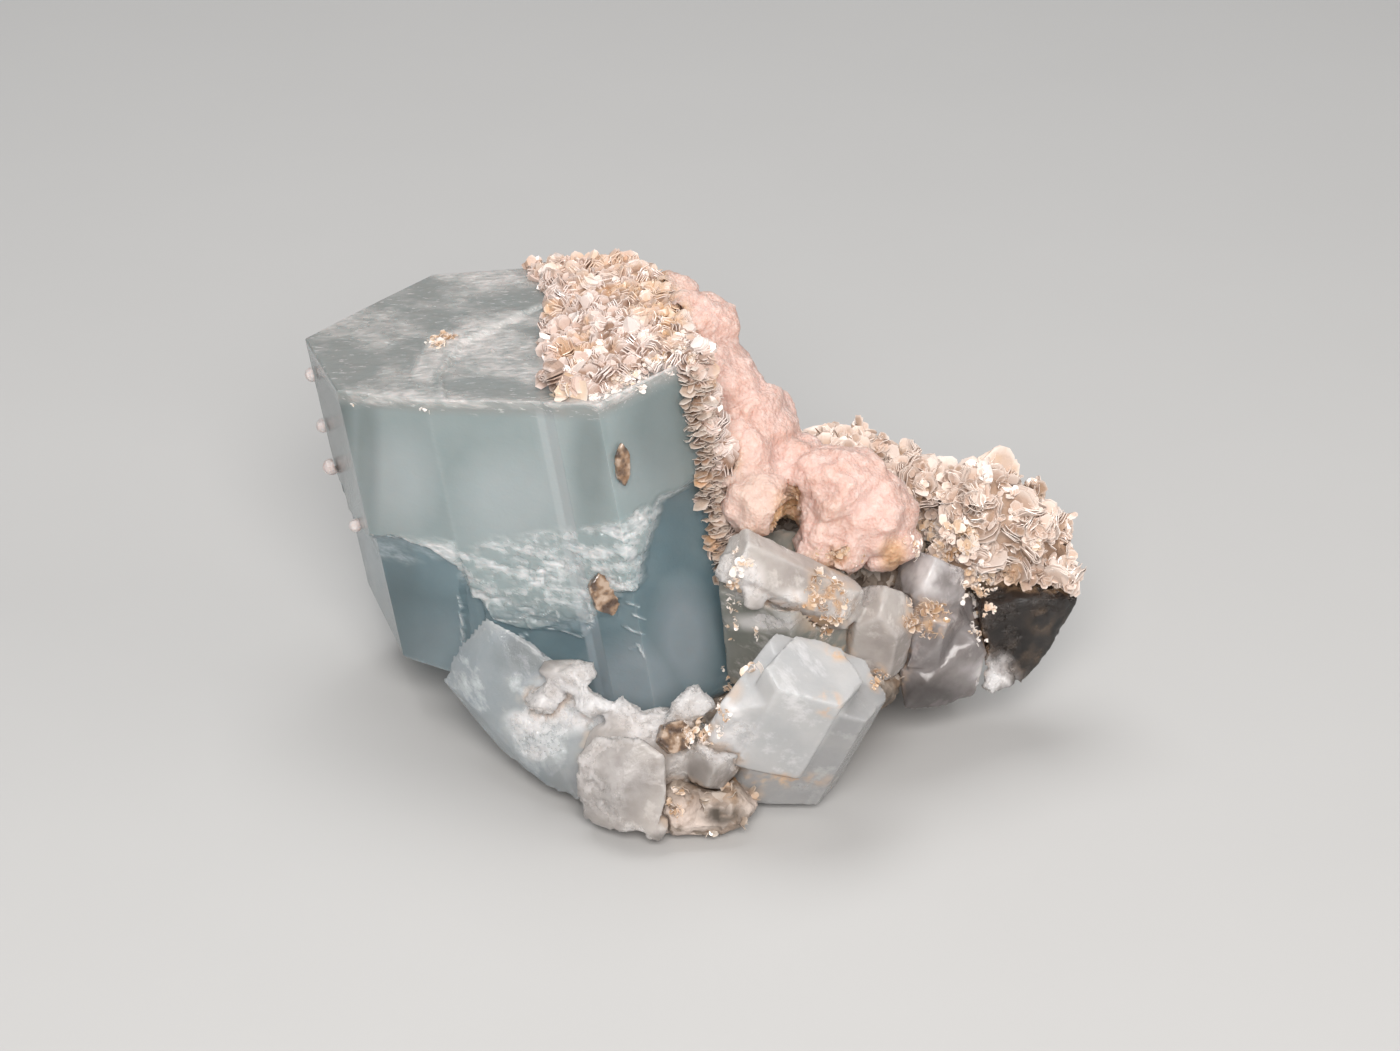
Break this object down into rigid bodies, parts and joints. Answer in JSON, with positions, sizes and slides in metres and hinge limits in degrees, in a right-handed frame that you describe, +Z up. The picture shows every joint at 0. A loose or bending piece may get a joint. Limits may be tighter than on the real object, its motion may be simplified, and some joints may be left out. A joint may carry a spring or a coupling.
{
  "type": "aquamarine crystal specimen",
  "caption": "Stubby blue aquamarine prism grown on a quartz, pink apatite and mica cluster, resting on a flat cut of its rock.",
  "frame": {"origin": "middle of the flat cut that the specimen rests on", "axes": "+Z up from the flat cut, +X toward the mica rosettes, -Y toward the specimen's display side"},
  "size_m": [0.1323, 0.0883, 0.0743],
  "materials": {
    "aquamarine": "translucent crystal, frosted on its growth faces",
    "pale_aquamarine": "milky translucent crystal",
    "quartz": "clear to milky crystal, partly encrusted",
    "smoky_quartz": "smoky see-through crystal",
    "apatite": "sugary botryoidal, waxy",
    "muscovite": "pearly flaky mica",
    "brown_mica": "pearly stained mica",
    "pegmatite": "rough granular rock"
  },
  "bodies": {
    "root": {"aquamarine_main": "aquamarine", "aquamarine_small": "pale_aquamarine", "aquamarine_side": "aquamarine", "quartz_shard": "quartz", "quartz_front": "quartz", "quartz_bar": "quartz", "quartz_right": "quartz", "smoky_quartz": "smoky_quartz", "apatite_mass": "apatite", "apatite_button_1": "apatite", "apatite_button_2": "apatite", "apatite_button_3": "apatite", "apatite_button_4": "apatite", "muscovite_crest": "muscovite", "muscovite_rosettes": "muscovite", "mica_book_brown": "brown_mica", "mica_book_side": "brown_mica", "mica_book_front": "brown_mica", "matrix_rock": "pegmatite"}
  },
  "joints": []
}
